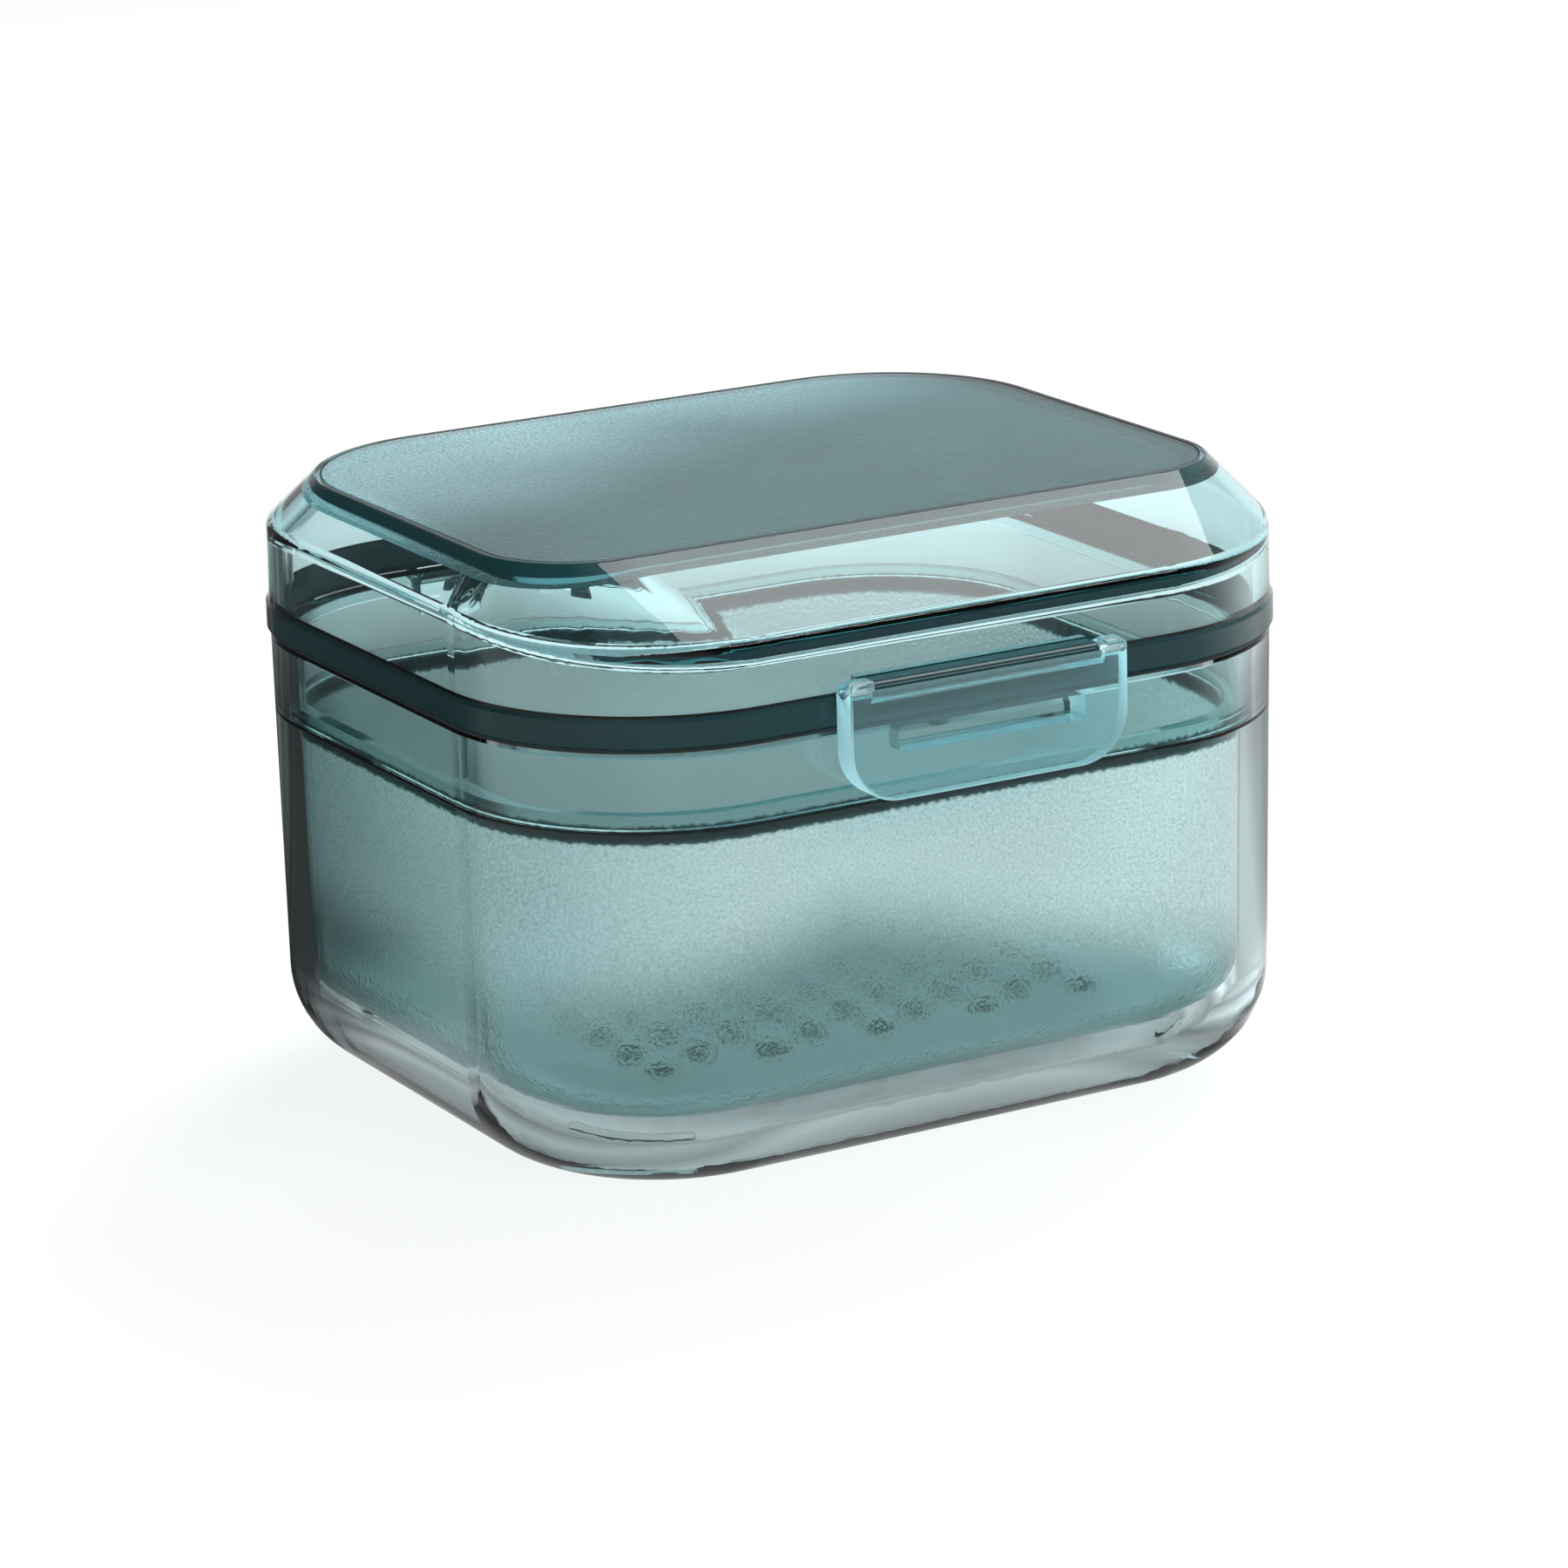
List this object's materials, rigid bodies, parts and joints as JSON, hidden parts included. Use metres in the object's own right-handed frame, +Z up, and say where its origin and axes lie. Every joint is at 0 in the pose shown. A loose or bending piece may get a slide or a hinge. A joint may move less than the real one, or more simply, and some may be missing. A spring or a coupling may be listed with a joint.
{
  "type": "retainer cleaning case",
  "caption": "Hinged, latched soaking case for a dental retainer: clear outer shell, perforated drain basket that lifts out, and a clear lid with a frosted top plate.",
  "frame": {"origin": "centre of the flat underside", "axes": "+Z up, -Y towards the latch (front), +X to the right seen from the front"},
  "size_m": [0.095, 0.0921, 0.0646],
  "materials": {
    "clear_plastic": "polished clear moulded plastic",
    "latch_plastic": "polished clear moulded plastic",
    "frosted_plastic": "translucent teal plastic, frosted outside",
    "plate_plastic": "translucent teal plastic with a frosted top",
    "frame_plastic": "satin dark teal plastic",
    "seal_rubber": "soft dark silicone",
    "pin_steel": "drawn stainless wire"
  },
  "bodies": {
    "base": {"outer_shell": "clear_plastic", "hinge_pin": "pin_steel"},
    "basket": {"drain_basket": "frosted_plastic"},
    "lid": {"lid_shell": "clear_plastic", "lid_frame": "frame_plastic", "lid_top_plate": "plate_plastic", "seal_ring": "seal_rubber", "latch_pin": "pin_steel"},
    "latch": {"latch": "latch_plastic"}
  },
  "joints": [
    {"name": "lid_hinge", "type": "hinge", "parent": "base", "child": "lid", "pos_m": [0, 0.0443, 0.0477], "axis": [-1, 0, 0], "range_deg": [0, 115]},
    {"name": "latch_hinge", "type": "hinge", "parent": "lid", "child": "latch", "pos_m": [0, -0.0433, 0.0516], "axis": [-1, 0, 0], "range_deg": [0, 100]},
    {"name": "basket_lift", "type": "slide", "parent": "base", "child": "basket", "axis": [0, 0, 1], "range_m": [0, 0.045]}
  ],
  "couplings": [
    {"joint": "basket_lift", "follows": "lid_hinge", "m_per_rad": 0.022}
  ]
}
